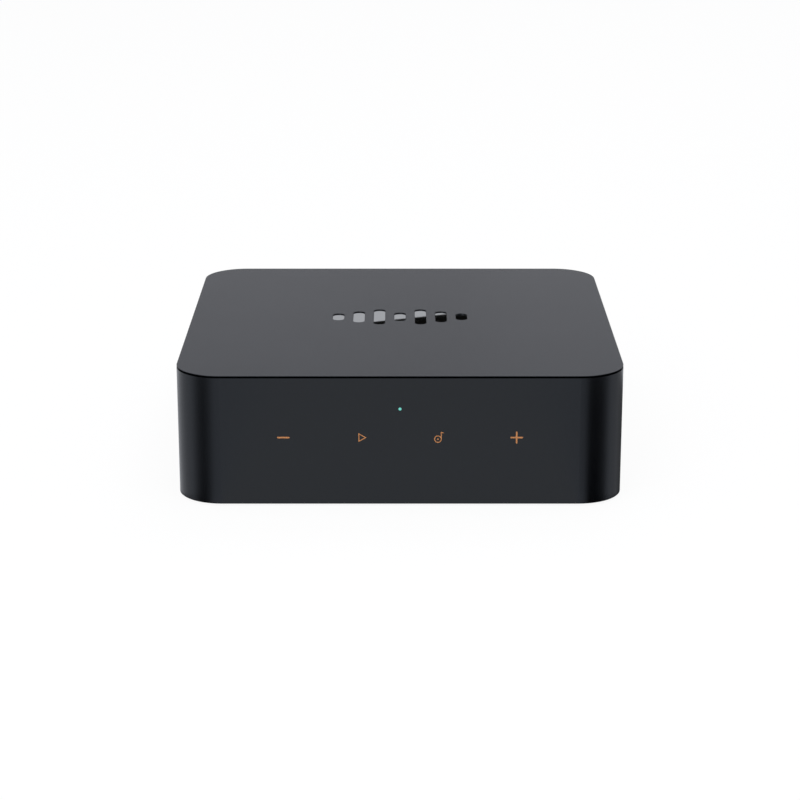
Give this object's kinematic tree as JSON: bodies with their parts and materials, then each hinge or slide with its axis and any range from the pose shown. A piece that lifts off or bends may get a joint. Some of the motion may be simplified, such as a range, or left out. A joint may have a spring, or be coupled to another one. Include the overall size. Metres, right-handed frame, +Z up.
{
  "type": "network music streamer",
  "caption": "Low square black case with rounded corners, flush touch keys and an indicator on its front, and audio, optical, network and power sockets at its rear.",
  "frame": {"origin": "middle of the foot pad's underside, on the table", "axes": "+Z up, -Y out of the front, +X to the right seen from the front"},
  "size_m": [0.14, 0.1476, 0.042],
  "materials": {
    "cover_plastic": "fine satin black",
    "emblem_gloss": "mirror gloss black",
    "shell_plastic": "fine satin black",
    "panel_plastic": "fine grained black",
    "base_plastic": "grained black",
    "foot_rubber": "matt dark grey",
    "black_steel": "black zinc",
    "copper_mark": "copper coloured",
    "indicator_clear": "lit teal",
    "film": "pale adhesive film",
    "copper": "bare copper",
    "board": "green solder resist",
    "chip_epoxy": "moulded epoxy",
    "light_chip": "white ceramic",
    "socket_nylon": "cream nylon",
    "ribbon_film": "white laminated film",
    "screw_steel": "zinc plated",
    "module_board": "blue solder resist",
    "tinned_sheet": "tin plated",
    "thermal_rubber": "soft grey-blue",
    "spreader_metal": "rolled sheet",
    "brass": "turned",
    "ferrite": "pressed ferrite",
    "capacitor_can": "drawn can",
    "antenna_film": "black flexible board",
    "lead_jacket": "black jacket",
    "gold_plate": "gold plated",
    "socket_plastic": "black nylon",
    "nickel": "nickel plated",
    "white_plastic": "white moulded",
    "red_plastic": "red moulded",
    "orange_plastic": "orange moulded",
    "shutter_plastic": "black moulded",
    "spring_wire": "drawn wire",
    "optical_clear": "clear red",
    "light_window": "clear diffused"
  },
  "bodies": {
    "case": {"top_cover": "cover_plastic", "top_emblem": "emblem_gloss", "shell": "shell_plastic", "rear_panel": "panel_plastic", "base_plate": "base_plastic", "foot_pad": "foot_rubber", "case_screws": "black_steel", "minus_mark": "copper_mark", "play_mark": "copper_mark", "preset_mark": "copper_mark", "plus_mark": "copper_mark", "indicator_lens": "indicator_clear", "touch_film": "film", "touch_electrodes": "copper", "touch_board": "board", "touch_chip": "chip_epoxy", "indicator_light": "light_chip", "touch_socket": "socket_nylon", "ribbon": "ribbon_film", "main_socket": "socket_nylon", "main_board": "board", "board_screws": "screw_steel", "module_board": "module_board", "shield_can": "tinned_sheet", "thermal_pad": "thermal_rubber", "heat_spreader": "spreader_metal", "spreader_posts": "brass", "spreader_screws": "screw_steel", "converter_chip": "chip_epoxy", "amplifier_chips": "chip_epoxy", "network_chip": "chip_epoxy", "network_transformer": "chip_epoxy", "inductors": "ferrite", "capacitors": "capacitor_can", "crystals": "tinned_sheet", "antennas": "antenna_film", "antenna_leads": "lead_jacket", "antenna_plugs": "gold_plate", "phono_blocks": "socket_plastic", "phono_barrels": "nickel", "left_insulators": "white_plastic", "right_insulators": "red_plastic", "coax_insulator": "orange_plastic", "phono_contacts": "gold_plate", "jack_screw": "black_steel", "optical_housings": "socket_plastic", "shutter_springs": "spring_wire", "optical_elements": "optical_clear", "trigger_jack": "socket_plastic", "trigger_bush": "nickel", "trigger_contact": "gold_plate", "lan_shield": "tinned_sheet", "lan_body": "socket_plastic", "lan_contacts": "gold_plate", "lan_lights": "light_window", "usb_shell": "tinned_sheet", "usb_tongue": "socket_plastic"},
    "output_shutter": {"output_shutter": "shutter_plastic"},
    "input_shutter": {"input_shutter": "shutter_plastic"}
  },
  "joints": [
    {"name": "output_shutter_hinge", "type": "hinge", "parent": "case", "child": "output_shutter", "pos_m": [0.00549, 0.0676, 0.01675], "axis": [-1, 0, 0], "range_deg": [0, 86], "stiffness_Nm_per_rad": 0.0001, "springref_deg": -20.05, "deforming": ["shutter_springs"]},
    {"name": "input_shutter_hinge", "type": "hinge", "parent": "case", "child": "input_shutter", "pos_m": [-0.00695, 0.0676, 0.01675], "axis": [-1, 0, 0], "range_deg": [0, 86], "stiffness_Nm_per_rad": 0.0001, "springref_deg": -20.05, "deforming": ["shutter_springs"]}
  ]
}
